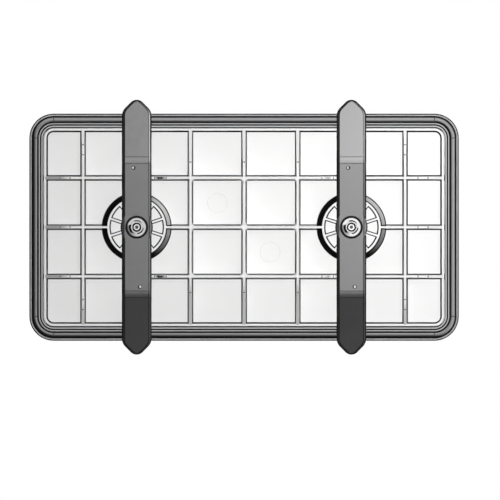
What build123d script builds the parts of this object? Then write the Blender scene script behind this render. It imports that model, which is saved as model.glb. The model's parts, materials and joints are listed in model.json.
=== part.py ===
from build123d import *
import os
from math import atan, cos, degrees, radians, tan

# A watertight deck hatch, closed on its deck, in millimetres.
# +Z is up and X runs along the lid. The origin is the middle of the deck cut-out, in the
# plane of the deck's top face, where the gasket seals.

# Lid skin and the wall round its underside
LID_LENGTH = 520.0
LID_WIDTH = 275.0
LID_CORNER_R = 29.5
LID_TOP_Z = 12.0
LID_SKIN = 4.0
LID_EDGE_ROUND = 3.0
WALL_OUTER_INSET = 18.0
WALL_TIP_WIDTH = 2.4
WALL_DEPTH = 11.0
WALL_DRAFT = 3.5

# Ribs under the lid: shallow ones outside, a deeper lattice in the middle
RIB_TIP_WIDTH = 2.3
RIB_DRAFT = 3.5
RIB_COLUMN_PITCH = 65.0
OUTER_COLUMNS = (-3, -2, 2, 3)
CENTRE_COLUMNS = (-1, 0, 1)
RIB_ROW_PITCH = 59.7
RIB_ROWS = (-1, 0, 1)
OUTER_RIB_DEPTH = 20.6
CENTRE_RIB_DEPTH = 32.0
OUTER_END_SLOPE = 22.0
OUTER_SLOPE_ROUND = 32.5
CENTRE_END_SLOPE = 24.0
CENTRE_SLOPE_ROUND = 43.0
CENTRE_HALF_LENGTH = 103.6
SHOULDER_SLOPE = 75.0
SHOULDER_ROUND = 8.5
SHOULDER_HOLLOW = 6.0
CELL_CORNER_ROUND = 4.0

# Wells that the two knobs sit in
LATCH_HALF_SPACING = 130.0
WELL_MOUTH_R = 39.4
WELL_FLOOR_R = 34.8
WELL_FLOOR_Z = -6.0
WELL_FLOOR_THICK = 3.0
WELL_CONE_R = 41.4
WELL_RIM_OUTER_R = 36.1
WELL_RIM_WIDTH = 3.0
WELL_MOUTH_ROUND = 1.5
SPOKE_COUNT = 10
SPOKE_WIDTH = 2.2
LID_HUB_R = 13.0
LID_HUB_DEPTH = 10.0

# Gasket section, measured inward from the lid's edge
GASKET_EDGE_INSET = 0.4
GASKET_THICK = 2.5
BULB_OUTER_INSET = 3.3
BULB_WIDTH = 7.6
BULB_CREST = 2.4
GASKET_STEP_INSET = 13.7
GASKET_LIP_WIDTH = 3.3
GASKET_LIP_THICK = 4.2

# Spindle and what it carries
SPINDLE_R = 9.5
RUNNING_FIT = 0.1
SMALL_FIT = 0.05
FREE_GAP = 0.3
CUT_OVERRUN = 2.0
SPINDLE_SHOULDER_Z = -53.0
PILOT_R = 7.1
PILOT_LENGTH = 4.0
PILOT_EDGE = 0.4
CLIP_GROOVE_DEPTH = 0.6
CLIP_THICK = 1.2
DRIVE_SQUARE = 12.0
DRIVE_HEIGHT = 7.0
SCREW_HEAD_R = 4.25
SCREW_HEAD_HEIGHT = 5.0
SCREW_R = 2.5
SCREW_HOLE_R = 2.75
SCREW_HEX = 4.0
SCREW_HEX_DEPTH = 2.5
SCREW_HEAD_EDGE = 0.4
SCREW_END_SHORT = 0.8
HEAD_POCKET_R = 5.6
RING_SECTION = 1.5
RING_GROOVE_DEPTH = 1.6
WASHER_R = 14.0
WASHER_THICK = 0.8
LID_CLIP_R = 12.4
LID_CLIP_GROOVE_DEPTH = 1.0
LID_CLIP_OPENING = 5.0
END_CLIP_R = 11.9
END_CLIP_BAND = 3.4
END_CLIP_OPENING = 9.5
END_CLIP_LOBE = 5.5
END_CLIP_TURN = -15.0

# Knob
KNOB_R = 33.5
KNOB_DISC_THICK = 4.0
KNOB_TOP_BELOW_LID = 1.0
KNOB_WING_LENGTH = 58.0
KNOB_WING_WIDTH = 13.0
KNOB_HUB_R = 13.5
KNOB_DRAFT = 3.0
KNOB_EDGE_ROUND = 1.5
KNOB_WAIST_ROUND = 6.0
INSERT_R = 4.5
INSERT_LENGTH = 5.5

# Clamping bar and its threaded bush
BUSH_R = 15.0
BUSH_HEIGHT = 11.0
BUSH_EDGE = 0.8
BAR_LENGTH = 308.7
BAR_WIDTH = 36.0
BAR_DEPTH = 14.0
BAR_WALL = 3.5
BAR_POINT_R = 10.0
BAR_SHOULDER_R = 14.5
BAR_BEND_AT = 81.4
BAR_BEND_R = 29.0
BAR_END_SLOPE = 16.0
BAR_EDGE_ROUND = 4.0
BAR_HUB_R = 19.6
BAR_HUB_HOLE_R = 13.0
BAR_HUB_RISE = 5.8
BAR_HUB_LIP = 1.7
BAR_PAD_LENGTH = 26.0
BAR_RIB_THICK = 2.5
BAR_POCKETS = 5
BAR_POCKET_ROUND = 3.0
BAR_DRAIN_R = 1.5
BAR_DRAIN_AT = 72.0
BAR_DRAIN_OFFSET = 3.9

# Levels and sizes that follow from the values above
LID_UNDER_Z = LID_TOP_Z - LID_SKIN
WALL_TIP_Z = LID_UNDER_Z - WALL_DEPTH
OUTER_RIB_Z = LID_UNDER_Z - OUTER_RIB_DEPTH
CENTRE_RIB_Z = LID_UNDER_Z - CENTRE_RIB_DEPTH
CENTRE_RIB_DRAFT = degrees(atan(tan(radians(RIB_DRAFT)) * OUTER_RIB_DEPTH / CENTRE_RIB_DEPTH))
SHOULDER_RUN = (CENTRE_RIB_DEPTH - OUTER_RIB_DEPTH) / tan(radians(SHOULDER_SLOPE))
CENTRE_REACH = CENTRE_HALF_LENGTH + SHOULDER_HOLLOW
WALL_MID_INSET = WALL_OUTER_INSET + WALL_TIP_WIDTH / 2
WELL_UNDER_Z = WELL_FLOOR_Z - WELL_FLOOR_THICK
HUB_BOTTOM_Z = WELL_FLOOR_Z - LID_HUB_DEPTH
LID_BORE_R = SPINDLE_R + RUNNING_FIT
KNOB_UNDER_Z = WELL_FLOOR_Z + WASHER_THICK
KNOB_DISC_TOP_Z = KNOB_UNDER_Z + KNOB_DISC_THICK
KNOB_TOP_Z = LID_TOP_Z - KNOB_TOP_BELOW_LID
DRIVE_TOP_Z = KNOB_UNDER_Z + DRIVE_HEIGHT
INSERT_TOP_Z = DRIVE_TOP_Z + INSERT_LENGTH
LID_CLIP_TOP_Z = HUB_BOTTOM_Z - FREE_GAP
BUSH_BOTTOM_Z = SPINDLE_SHOULDER_Z
BUSH_TOP_Z = BUSH_BOTTOM_Z + BUSH_HEIGHT
END_CLIP_TOP_Z = SPINDLE_SHOULDER_Z - FREE_GAP
PILOT_BOTTOM_Z = SPINDLE_SHOULDER_Z - PILOT_LENGTH
SCREW_SEAT_Z = PILOT_BOTTOM_Z + SCREW_HEAD_HEIGHT
BAR_HUB_TOP_Z = BUSH_TOP_Z + FREE_GAP + BAR_HUB_LIP
BAR_TOP_Z = BAR_HUB_TOP_Z - BAR_HUB_RISE
BAR_BOTTOM_Z = BAR_TOP_Z - BAR_DEPTH
BAR_HALF = BAR_LENGTH / 2
BAR_TIP_RISE = (BAR_HALF - BAR_BEND_AT) * tan(radians(BAR_END_SLOPE))


def lid_outline(inset, mode=Mode.ADD):
    """A rounded rectangle that lies this far inside the lid's edge."""
    length = LID_LENGTH - 2 * inset
    width = LID_WIDTH - 2 * inset
    return RectangleRounded(length, width, LID_CORNER_R - inset, mode=mode)


def rib_profile(half_length, depth, end_slope, corner_round):
    """A rib seen from its side: full depth in the middle, sloping up to the wall at both ends."""
    tip_z = LID_UNDER_Z - depth
    run = (depth - WALL_DEPTH) / tan(radians(end_slope))
    with BuildSketch() as profile:
        with BuildLine():
            Polyline(
                (-half_length, LID_UNDER_Z),
                (-half_length, WALL_TIP_Z),
                (-half_length + run, tip_z),
                (half_length - run, tip_z),
                (half_length, WALL_TIP_Z),
                (half_length, LID_UNDER_Z),
                close=True,
            )
        make_face()
        fillet(profile.vertices().group_by(Axis.Y)[0], corner_round)
    return profile.sketch


# The space that the ribs fill is cut by their side profiles.
RIB_HALF_LENGTH = LID_LENGTH / 2 - WALL_MID_INSET
RIB_HALF_WIDTH = LID_WIDTH / 2 - WALL_MID_INSET
outer_row_profile = rib_profile(RIB_HALF_LENGTH, OUTER_RIB_DEPTH, OUTER_END_SLOPE, OUTER_SLOPE_ROUND)
outer_column_profile = rib_profile(RIB_HALF_WIDTH, OUTER_RIB_DEPTH, OUTER_END_SLOPE, OUTER_SLOPE_ROUND)
centre_column_profile = rib_profile(RIB_HALF_WIDTH, CENTRE_RIB_DEPTH, CENTRE_END_SLOPE, CENTRE_SLOPE_ROUND)

with BuildPart() as outer_envelope:
    with BuildSketch(Plane.XZ):
        add(outer_row_profile)
    extrude(amount=RIB_HALF_WIDTH, both=True)
    with BuildSketch(Plane.YZ):
        add(outer_column_profile)
    extrude(amount=RIB_HALF_LENGTH, both=True, mode=Mode.INTERSECT)

with BuildPart() as centre_envelope:
    with BuildSketch(Plane.YZ):
        add(centre_column_profile)
    extrude(amount=CENTRE_REACH, both=True)
    with BuildSketch(Plane.XZ) as shoulders:
        with BuildLine():
            Polyline(
                (-CENTRE_REACH, LID_UNDER_Z),
                (-CENTRE_REACH, OUTER_RIB_Z),
                (-CENTRE_HALF_LENGTH, OUTER_RIB_Z),
                (-CENTRE_HALF_LENGTH + SHOULDER_RUN, CENTRE_RIB_Z),
                (CENTRE_HALF_LENGTH - SHOULDER_RUN, CENTRE_RIB_Z),
                (CENTRE_HALF_LENGTH, OUTER_RIB_Z),
                (CENTRE_REACH, OUTER_RIB_Z),
                (CENTRE_REACH, LID_UNDER_Z),
                close=True,
            )
        make_face()
        fillet(shoulders.vertices().group_by(Axis.Y)[0], SHOULDER_ROUND)
        hollows = shoulders.vertices().group_by(Axis.Y)[-2].sort_by(Axis.X)[1:-1]
        fillet(hollows, SHOULDER_HOLLOW)
    extrude(amount=RIB_HALF_WIDTH, both=True, mode=Mode.INTERSECT)

with BuildPart() as outer_ribs:
    with BuildSketch(Plane.XY.offset(OUTER_RIB_Z)):
        with Locations([(n * RIB_COLUMN_PITCH, 0) for n in OUTER_COLUMNS]):
            Rectangle(RIB_TIP_WIDTH, 2 * RIB_HALF_WIDTH)
    extrude(amount=OUTER_RIB_DEPTH, taper=-RIB_DRAFT)
    with BuildSketch(Plane.XY.offset(OUTER_RIB_Z)):
        with Locations([(0, n * RIB_ROW_PITCH) for n in RIB_ROWS]):
            Rectangle(2 * RIB_HALF_LENGTH, RIB_TIP_WIDTH)
    extrude(amount=OUTER_RIB_DEPTH, taper=-RIB_DRAFT)
    add(outer_envelope.part, mode=Mode.INTERSECT)

with BuildPart() as centre_ribs:
    with BuildSketch(Plane.XY.offset(CENTRE_RIB_Z)):
        with Locations([(n * RIB_COLUMN_PITCH, 0) for n in CENTRE_COLUMNS]):
            Rectangle(RIB_TIP_WIDTH, 2 * RIB_HALF_WIDTH)
    extrude(amount=CENTRE_RIB_DEPTH, taper=-CENTRE_RIB_DRAFT)
    with BuildSketch(Plane.XY.offset(CENTRE_RIB_Z)):
        with Locations([(0, n * RIB_ROW_PITCH) for n in RIB_ROWS]):
            Rectangle(2 * CENTRE_REACH, RIB_TIP_WIDTH)
    extrude(amount=CENTRE_RIB_DEPTH, taper=-CENTRE_RIB_DRAFT)
    steep = cos(radians(3 * CENTRE_RIB_DRAFT))
    uprights = [e for e in centre_ribs.edges() if abs(e.tangent_at(0.5).Z) > steep]
    inner_rows = [e for e in uprights if abs(e.center().Y) < RIB_ROW_PITCH]
    cell_corners = [e for e in inner_rows if abs(e.center().X) < RIB_COLUMN_PITCH]
    fillet(cell_corners, CELL_CORNER_ROUND)
    add(centre_envelope.part, mode=Mode.INTERSECT)

# One well: a cone that hangs from the skin, with a floor, a hub and a rim
CONE_SPREAD = (WELL_CONE_R - WELL_RIM_OUTER_R) / OUTER_RIB_DEPTH
WELL_SKIN_R = WELL_CONE_R + CONE_SPREAD * LID_SKIN

with BuildPart() as well_space:
    with BuildSketch(Plane.XZ):
        with BuildLine():
            Polyline(
                (0, LID_TOP_Z),
                (WELL_SKIN_R, LID_TOP_Z),
                (WELL_RIM_OUTER_R, OUTER_RIB_Z),
                (WELL_RIM_OUTER_R, CENTRE_RIB_Z),
                (0, CENTRE_RIB_Z),
                close=True,
            )
        make_face()
    revolve(axis=Axis.Z)

with BuildPart() as well:
    with BuildSketch(Plane.XZ):
        with BuildLine():
            Polyline(
                (LID_BORE_R, WELL_FLOOR_Z),
                (WELL_FLOOR_R, WELL_FLOOR_Z),
                (WELL_MOUTH_R, LID_TOP_Z),
                (WELL_SKIN_R, LID_TOP_Z),
                (WELL_RIM_OUTER_R, OUTER_RIB_Z),
                (WELL_RIM_OUTER_R - WELL_RIM_WIDTH, OUTER_RIB_Z),
                (WELL_RIM_OUTER_R - WELL_RIM_WIDTH, WELL_UNDER_Z),
                (LID_HUB_R, WELL_UNDER_Z),
                (LID_HUB_R, HUB_BOTTOM_Z),
                (LID_BORE_R, HUB_BOTTOM_Z),
                close=True,
            )
        make_face()
    revolve(axis=Axis.Z)
    mouth = well.edges().filter_by(GeomType.CIRCLE).group_by(Axis.Z)[-1].sort_by(SortBy.RADIUS)[0]
    fillet(mouth, WELL_MOUTH_ROUND)
    spoke_inner = (LID_BORE_R + LID_HUB_R) / 2
    spoke_outer = WELL_RIM_OUTER_R - WELL_RIM_WIDTH / 2
    with BuildSketch(Plane.XY.offset(OUTER_RIB_Z)):
        with PolarLocations((spoke_inner + spoke_outer) / 2, SPOKE_COUNT, 180 / SPOKE_COUNT):
            Rectangle(spoke_outer - spoke_inner, SPOKE_WIDTH)
    extrude(amount=WELL_UNDER_Z - OUTER_RIB_Z)

# The lid: skin, wall, ribs and two wells moulded as one piece
with BuildPart() as lid:
    with BuildSketch(Plane.XY.offset(LID_UNDER_Z)):
        lid_outline(0)
    extrude(amount=LID_SKIN)
    fillet(lid.faces().sort_by(Axis.Z)[-1].edges(), LID_EDGE_ROUND)
    with BuildSketch(Plane.XY.offset(WALL_TIP_Z)):
        lid_outline(WALL_OUTER_INSET)
        lid_outline(WALL_OUTER_INSET + WALL_TIP_WIDTH, Mode.SUBTRACT)
    extrude(amount=WALL_DEPTH, taper=-WALL_DRAFT)
    add(outer_ribs.part)
    add(centre_ribs.part)
    with Locations((-LATCH_HALF_SPACING, 0), (LATCH_HALF_SPACING, 0)):
        add(well_space.part, mode=Mode.SUBTRACT)
        add(well.part)

# The gasket: a flat strip with a bulb that the deck squeezes and a lip against the wall
STRIP_Z = LID_UNDER_Z - GASKET_THICK
LIP_Z = LID_UNDER_Z - GASKET_LIP_THICK
BULB_ROUND = (BULB_WIDTH - BULB_CREST) / 2

with BuildPart() as gasket:
    with BuildSketch(Plane.XY.offset(STRIP_Z)):
        lid_outline(GASKET_EDGE_INSET)
        lid_outline(GASKET_STEP_INSET, Mode.SUBTRACT)
    extrude(amount=GASKET_THICK)
    with BuildSketch(Plane.XY.offset(LIP_Z)):
        lid_outline(GASKET_STEP_INSET)
        lid_outline(GASKET_STEP_INSET + GASKET_LIP_WIDTH, Mode.SUBTRACT)
    extrude(amount=GASKET_LIP_THICK)
    with BuildSketch(Plane.XY):
        lid_outline(BULB_OUTER_INSET)
        lid_outline(BULB_OUTER_INSET + BULB_WIDTH, Mode.SUBTRACT)
    extrude(amount=LID_UNDER_Z)
    fillet(gasket.faces().sort_by(Axis.Z)[0].edges(), BULB_ROUND)

# The spindle: it turns in the lid's hub, carries the thread and ends in a hollow pilot
LID_GROOVE_R = SPINDLE_R - LID_CLIP_GROOVE_DEPTH
END_GROOVE_R = PILOT_R - CLIP_GROOVE_DEPTH
LID_CLIP_BOTTOM_Z = LID_CLIP_TOP_Z - CLIP_THICK
END_CLIP_BOTTOM_Z = END_CLIP_TOP_Z - CLIP_THICK
RING_Z = (WELL_FLOOR_Z + HUB_BOTTOM_Z) / 2
RING_TRACK_R = SPINDLE_R - RING_SECTION / 2
DRIVE_SLOT = DRIVE_SQUARE + 2 * SMALL_FIT

with BuildPart() as spindle:
    with BuildSketch(Plane.XZ):
        with BuildLine():
            Polyline(
                (0, KNOB_UNDER_Z),
                (SPINDLE_R, KNOB_UNDER_Z),
                (SPINDLE_R, SPINDLE_SHOULDER_Z),
                (PILOT_R, SPINDLE_SHOULDER_Z),
                (PILOT_R, PILOT_BOTTOM_Z),
                (0, PILOT_BOTTOM_Z),
                close=True,
            )
        make_face()
        with Locations((SPINDLE_R, RING_Z)):
            Rectangle(2 * RING_GROOVE_DEPTH, RING_SECTION + 2 * SMALL_FIT, mode=Mode.SUBTRACT)
        with Locations((SPINDLE_R, (LID_CLIP_TOP_Z + LID_CLIP_BOTTOM_Z) / 2)):
            Rectangle(2 * LID_CLIP_GROOVE_DEPTH, CLIP_THICK + 2 * SMALL_FIT, mode=Mode.SUBTRACT)
        with Locations((PILOT_R, (END_CLIP_TOP_Z + END_CLIP_BOTTOM_Z) / 2)):
            Rectangle(2 * CLIP_GROOVE_DEPTH, CLIP_THICK + 2 * SMALL_FIT, mode=Mode.SUBTRACT)
    revolve(axis=Axis.Z)
    pilot_rim = spindle.edges().filter_by(GeomType.CIRCLE).sort_by(Axis.Z)[0]
    chamfer(pilot_rim, PILOT_EDGE)
    with BuildSketch(Plane.XY.offset(KNOB_UNDER_Z)):
        Rectangle(DRIVE_SQUARE, DRIVE_SQUARE)
    extrude(amount=DRIVE_HEIGHT)
    with BuildSketch(Plane.XY.offset(PILOT_BOTTOM_Z)):
        Circle(SCREW_HOLE_R)
    extrude(amount=DRIVE_TOP_Z - PILOT_BOTTOM_Z, mode=Mode.SUBTRACT)
    with BuildSketch(Plane.XY.offset(PILOT_BOTTOM_Z)):
        Circle(HEAD_POCKET_R)
    extrude(amount=SCREW_HEAD_HEIGHT, mode=Mode.SUBTRACT)

with BuildPart() as spindle_o_ring:
    with BuildSketch(Plane.XZ):
        with Locations((RING_TRACK_R, RING_Z)):
            Circle(RING_SECTION / 2)
    revolve(axis=Axis.Z)

with BuildPart() as thrust_washer:
    with BuildSketch(Plane.XY.offset(WELL_FLOOR_Z)):
        Circle(WASHER_R)
        Circle(LID_BORE_R, mode=Mode.SUBTRACT)
    extrude(amount=WASHER_THICK)

with BuildPart() as retaining_clip:
    with BuildSketch(Plane.XY.offset(LID_CLIP_BOTTOM_Z)):
        Circle(LID_CLIP_R)
        Circle(LID_GROOVE_R + SMALL_FIT, mode=Mode.SUBTRACT)
        with Locations((0, LID_CLIP_R)):
            Rectangle(LID_CLIP_OPENING, 2 * (LID_CLIP_R - LID_GROOVE_R) + CUT_OVERRUN, mode=Mode.SUBTRACT)
    extrude(amount=CLIP_THICK)

# The end clip: a spring ring with three inward lobes, open on one side
END_CLIP_INNER_R = END_CLIP_R - END_CLIP_BAND
END_LOBE_R = END_GROOVE_R + SMALL_FIT
LOBE_MID_R = (END_LOBE_R + END_CLIP_INNER_R) / 2

with BuildPart() as end_clip:
    with BuildSketch(Plane.XY.offset(END_CLIP_BOTTOM_Z)):
        Circle(END_CLIP_R)
        Circle(END_CLIP_INNER_R, mode=Mode.SUBTRACT)
        with PolarLocations(LOBE_MID_R, 3, END_CLIP_TURN + 60):
            Rectangle(2 * (END_CLIP_INNER_R - LOBE_MID_R) + CUT_OVERRUN, END_CLIP_LOBE)
        Circle(END_LOBE_R, mode=Mode.SUBTRACT)
        with PolarLocations(END_CLIP_R, 1, END_CLIP_TURN):
            Rectangle(2 * END_CLIP_R - 2 * END_LOBE_R, END_CLIP_OPENING, mode=Mode.SUBTRACT)
    extrude(amount=CLIP_THICK)

with BuildPart() as end_screw:
    with BuildSketch(Plane.XY.offset(PILOT_BOTTOM_Z)):
        Circle(SCREW_HEAD_R)
    extrude(amount=SCREW_HEAD_HEIGHT)
    chamfer(end_screw.faces().sort_by(Axis.Z)[0].edges(), SCREW_HEAD_EDGE)
    with BuildSketch(Plane.XY.offset(PILOT_BOTTOM_Z)):
        RegularPolygon(SCREW_HEX / 2, 6, major_radius=False)
    extrude(amount=SCREW_HEX_DEPTH, mode=Mode.SUBTRACT)
    with BuildSketch(Plane.XY.offset(SCREW_SEAT_Z)):
        Circle(SCREW_R)
    extrude(amount=INSERT_TOP_Z - SCREW_END_SHORT - SCREW_SEAT_Z)

# The knob: a disc in the well with a wing to grip
with BuildPart() as knob:
    with BuildSketch(Plane.XY.offset(KNOB_UNDER_Z)):
        Circle(KNOB_R)
    extrude(amount=KNOB_DISC_THICK)
    chamfer(knob.faces().sort_by(Axis.Z)[-1].edges(), KNOB_EDGE_ROUND)
    with BuildSketch(Plane.XY.offset(KNOB_DISC_TOP_Z)):
        SlotOverall(KNOB_WING_LENGTH, KNOB_WING_WIDTH, rotation=90)
        Circle(KNOB_HUB_R)
        fillet(vertices(), KNOB_WAIST_ROUND)
    extrude(amount=KNOB_TOP_Z - KNOB_DISC_TOP_Z, taper=KNOB_DRAFT)
    fillet(knob.faces().sort_by(Axis.Z)[-1].edges(), KNOB_EDGE_ROUND)
    with BuildSketch(Plane.XY.offset(KNOB_UNDER_Z)):
        Rectangle(DRIVE_SLOT, DRIVE_SLOT)
    extrude(amount=DRIVE_HEIGHT, mode=Mode.SUBTRACT)
    with BuildSketch(Plane.XY.offset(DRIVE_TOP_Z)):
        Circle(INSERT_R + SMALL_FIT)
    extrude(amount=INSERT_LENGTH, mode=Mode.SUBTRACT)

with BuildPart() as knob_insert:
    with BuildSketch(Plane.XY.offset(DRIVE_TOP_Z)):
        Circle(INSERT_R)
        Circle(SCREW_R + SMALL_FIT, mode=Mode.SUBTRACT)
    extrude(amount=INSERT_LENGTH)

# The bush is moulded into the bar's hub and runs on the spindle's thread.
with BuildPart() as thread_bush:
    with BuildSketch(Plane.XY.offset(BUSH_BOTTOM_Z)):
        Circle(BUSH_R)
    extrude(amount=BUSH_HEIGHT)
    chamfer(thread_bush.edges().filter_by(GeomType.CIRCLE), BUSH_EDGE)
    with BuildSketch(Plane.XY.offset(BUSH_BOTTOM_Z)):
        Circle(SPINDLE_R + RUNNING_FIT)
    extrude(amount=BUSH_HEIGHT, mode=Mode.SUBTRACT)


def bar_side(lift):
    """The bar seen from its side, raised by this much: level in the middle, rising to its ends."""
    low = BAR_BOTTOM_Z + lift
    with BuildSketch() as side:
        with BuildLine():
            Polyline(
                (-BAR_BEND_AT, low),
                (BAR_BEND_AT, low),
                (BAR_HALF, low + BAR_TIP_RISE),
                (BAR_HALF, low + BAR_TIP_RISE + BAR_DEPTH),
                (BAR_BEND_AT, low + BAR_DEPTH),
                (-BAR_BEND_AT, low + BAR_DEPTH),
                (-BAR_HALF, low + BAR_TIP_RISE + BAR_DEPTH),
                (-BAR_HALF, low + BAR_TIP_RISE),
                close=True,
            )
        make_face()
        bends = [v for v in side.vertices() if abs(abs(v.X) - BAR_BEND_AT) < SMALL_FIT]
        fillet(bends, BAR_BEND_R)
    return side.sketch


bar_body_side = bar_side(0)
pocket_side = bar_side(BAR_WALL)

# Pockets in the bar's upper face, with cross ribs left between them
POCKET_START = BAR_HUB_R + BAR_RIB_THICK
POCKET_PITCH = (BAR_HALF - BAR_PAD_LENGTH - POCKET_START) / BAR_POCKETS
POCKET_YS = [POCKET_START + (n + 0.5) * POCKET_PITCH for n in range(BAR_POCKETS)]

with BuildPart() as bar_pockets:
    with BuildSketch(Plane.XY.offset(BAR_BOTTOM_Z)) as pocket_plan:
        with Locations([(0, side * y) for y in POCKET_YS for side in (-1, 1)]):
            Rectangle(BAR_WIDTH - 2 * BAR_WALL, POCKET_PITCH - BAR_RIB_THICK)
        fillet(pocket_plan.vertices(), BAR_POCKET_ROUND)
    extrude(amount=BAR_DEPTH + BAR_TIP_RISE)
    with BuildSketch(Plane.YZ):
        add(pocket_side)
    extrude(amount=BAR_WIDTH, both=True, mode=Mode.INTERSECT)

# Plan of the bar: parallel sides and pointed, rounded ends
POINT_APEX = BAR_HALF + BAR_POINT_R * (1 / cos(radians(45)) - 1)
SHOULDER_AT = POINT_APEX - BAR_WIDTH / 2

with BuildPart() as bar:
    with BuildSketch(Plane.XY.offset(BAR_BOTTOM_Z)) as bar_plan:
        with BuildLine():
            Polyline(
                (-BAR_WIDTH / 2, -SHOULDER_AT),
                (0, -POINT_APEX),
                (BAR_WIDTH / 2, -SHOULDER_AT),
                (BAR_WIDTH / 2, SHOULDER_AT),
                (0, POINT_APEX),
                (-BAR_WIDTH / 2, SHOULDER_AT),
                close=True,
            )
        make_face()
        fillet(bar_plan.vertices().filter_by_position(Axis.X, -1, 1), BAR_POINT_R)
        corners = [v for v in bar_plan.vertices() if abs(abs(v.X) - BAR_WIDTH / 2) < SMALL_FIT]
        fillet(corners, BAR_SHOULDER_R)
    extrude(amount=BAR_DEPTH + BAR_TIP_RISE)
    with BuildSketch(Plane.YZ):
        add(bar_body_side)
    extrude(amount=BAR_WIDTH, both=True, mode=Mode.INTERSECT)
    under_edges = ShapeList(f for f in bar.faces() if f.normal_at().Z < -0.5).edges()
    side_edges = ShapeList(f for f in bar.faces() if abs(f.normal_at().Z) < 0.01).edges()
    fillet([e for e in under_edges if e in side_edges], BAR_EDGE_ROUND)
    with BuildSketch(Plane.XY.offset(BAR_BOTTOM_Z)):
        Circle(BAR_HUB_R)
    extrude(amount=BAR_HUB_TOP_Z - BAR_BOTTOM_Z)
    add(bar_pockets.part, mode=Mode.SUBTRACT)
    with BuildSketch(Plane.XY.offset(BAR_BOTTOM_Z)):
        Circle(BAR_HUB_HOLE_R)
    extrude(amount=BAR_HUB_TOP_Z - BAR_BOTTOM_Z, mode=Mode.SUBTRACT)
    with BuildSketch(Plane.XY.offset(BUSH_BOTTOM_Z - FREE_GAP)):
        Circle(BUSH_R + RUNNING_FIT)
    extrude(amount=BUSH_HEIGHT + 2 * FREE_GAP, mode=Mode.SUBTRACT)
    with BuildSketch(Plane.XY.offset(BAR_BOTTOM_Z)):
        with Locations((BAR_DRAIN_OFFSET, BAR_DRAIN_AT), (-BAR_DRAIN_OFFSET, -BAR_DRAIN_AT)):
            Circle(BAR_DRAIN_R)
    extrude(amount=BAR_DEPTH, mode=Mode.SUBTRACT)

# Each latch is the same set of pieces, once on the left and once on the right.
os.makedirs("parts", exist_ok=True)

for name, piece in (("lid", lid.part), ("gasket", gasket.part)):
    piece.label = name
    export_step(piece, f"parts/{name}.step")

latch_pieces = (
    ("knob", knob.part),
    ("knob_insert", knob_insert.part),
    ("thrust_washer", thrust_washer.part),
    ("spindle_o_ring", spindle_o_ring.part),
    ("spindle", spindle.part),
    ("retaining_clip", retaining_clip.part),
    ("thread_bush", thread_bush.part),
    ("bar", bar.part),
    ("end_clip", end_clip.part),
    ("end_screw", end_screw.part),
)
for side, x in (("left", -LATCH_HALF_SPACING), ("right", LATCH_HALF_SPACING)):
    for name, piece in latch_pieces:
        placed = piece.moved(Location((x, 0, 0)))
        placed.label = f"{name}_{side}"
        export_step(placed, f"parts/{name}_{side}.step")
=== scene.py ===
import json
import math

import bmesh
import bpy
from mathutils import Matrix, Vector


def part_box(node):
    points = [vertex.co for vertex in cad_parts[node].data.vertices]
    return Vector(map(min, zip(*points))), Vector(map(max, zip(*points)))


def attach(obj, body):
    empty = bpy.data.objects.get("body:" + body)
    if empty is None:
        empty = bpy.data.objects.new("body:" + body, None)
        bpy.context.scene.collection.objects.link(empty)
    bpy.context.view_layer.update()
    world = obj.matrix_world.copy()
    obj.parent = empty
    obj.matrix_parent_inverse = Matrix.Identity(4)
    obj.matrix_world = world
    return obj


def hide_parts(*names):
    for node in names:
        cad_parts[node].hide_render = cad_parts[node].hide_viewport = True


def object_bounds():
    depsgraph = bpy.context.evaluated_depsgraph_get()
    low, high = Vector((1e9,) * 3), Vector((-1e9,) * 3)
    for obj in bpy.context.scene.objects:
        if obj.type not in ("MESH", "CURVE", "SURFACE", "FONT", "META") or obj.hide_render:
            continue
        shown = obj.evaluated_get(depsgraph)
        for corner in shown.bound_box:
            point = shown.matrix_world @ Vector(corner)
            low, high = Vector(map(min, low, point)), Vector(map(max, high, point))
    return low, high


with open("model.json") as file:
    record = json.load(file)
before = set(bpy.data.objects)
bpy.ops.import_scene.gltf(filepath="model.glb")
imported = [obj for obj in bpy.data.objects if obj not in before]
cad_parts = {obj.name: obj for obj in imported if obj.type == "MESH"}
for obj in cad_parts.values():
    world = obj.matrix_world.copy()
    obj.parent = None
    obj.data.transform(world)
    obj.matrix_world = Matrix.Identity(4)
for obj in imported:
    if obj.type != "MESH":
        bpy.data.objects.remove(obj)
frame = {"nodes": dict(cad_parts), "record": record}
cad_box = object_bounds()
nodes = frame["nodes"]

SIDES = ("left", "right")
MM = 0.001


# Material building blocks

def new_material(name, base, roughness, metallic=0.0):
    """A Principled material, and the node tree to add detail to."""
    material = bpy.data.materials.new(name)
    material.use_nodes = True
    tree = material.node_tree
    shader = tree.nodes["Principled BSDF"]
    shader.inputs["Base Color"].default_value = (*base, 1.0)
    shader.inputs["Roughness"].default_value = roughness
    shader.inputs["Metallic"].default_value = metallic
    return material, tree, shader


def object_coordinates(tree):
    return tree.nodes.new("ShaderNodeTexCoord").outputs["Object"]


def noise(tree, scale, detail=3.0, stretch=None):
    """Noise over the object's own coordinates; scale is in features a metre."""
    coordinates = object_coordinates(tree)
    if stretch is not None:
        mapping = tree.nodes.new("ShaderNodeMapping")
        mapping.inputs["Scale"].default_value = stretch
        tree.links.new(coordinates, mapping.inputs["Vector"])
        coordinates = mapping.outputs["Vector"]
    texture = tree.nodes.new("ShaderNodeTexNoise")
    texture.inputs["Scale"].default_value = scale
    texture.inputs["Detail"].default_value = detail
    tree.links.new(coordinates, texture.inputs["Vector"])
    return texture.outputs["Fac"]


def spread(tree, value, low, high, start=0.3, end=0.7):
    """Maps a value between start and end on to low to high."""
    ranger = tree.nodes.new("ShaderNodeMapRange")
    ranger.inputs["From Min"].default_value = start
    ranger.inputs["From Max"].default_value = end
    ranger.inputs["To Min"].default_value = low
    ranger.inputs["To Max"].default_value = high
    tree.links.new(value, ranger.inputs["Value"])
    return ranger.outputs["Result"]


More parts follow.
